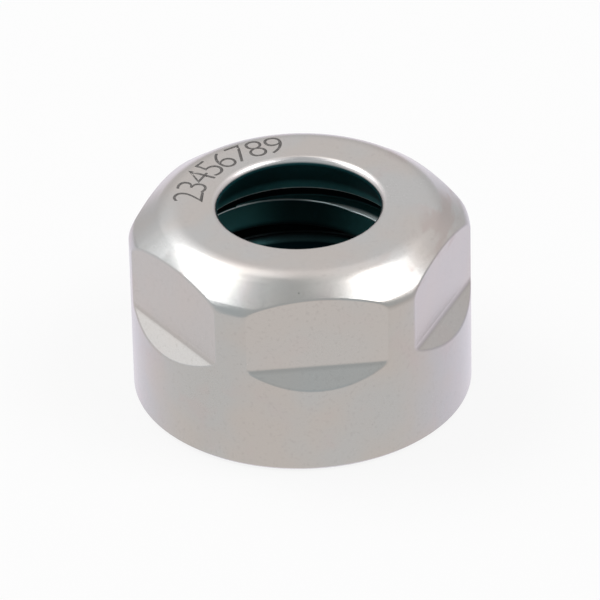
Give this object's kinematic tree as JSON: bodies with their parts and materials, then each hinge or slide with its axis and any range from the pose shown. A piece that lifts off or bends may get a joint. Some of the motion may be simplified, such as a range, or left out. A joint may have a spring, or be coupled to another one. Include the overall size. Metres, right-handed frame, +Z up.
{
  "type": "collet nut",
  "caption": "Steel clamping nut that screws onto a spindle and presses a spring collet into its taper; round skirt, wrench flats with sloping ledges, and a rounded nose with a tool mouth.",
  "frame": {"origin": "middle of the bottom face, where the open threaded end stands", "axes": "+Z up along the bore to the nose, one wrench flat faces -Y"},
  "size_m": [0.028, 0.028, 0.017],
  "materials": {
    "nut_steel": "satin, warm light grey, turned on the nose and inside, milled on the flats"
  },
  "bodies": {
    "root": {"collet_nut": "nut_steel"}
  },
  "joints": []
}
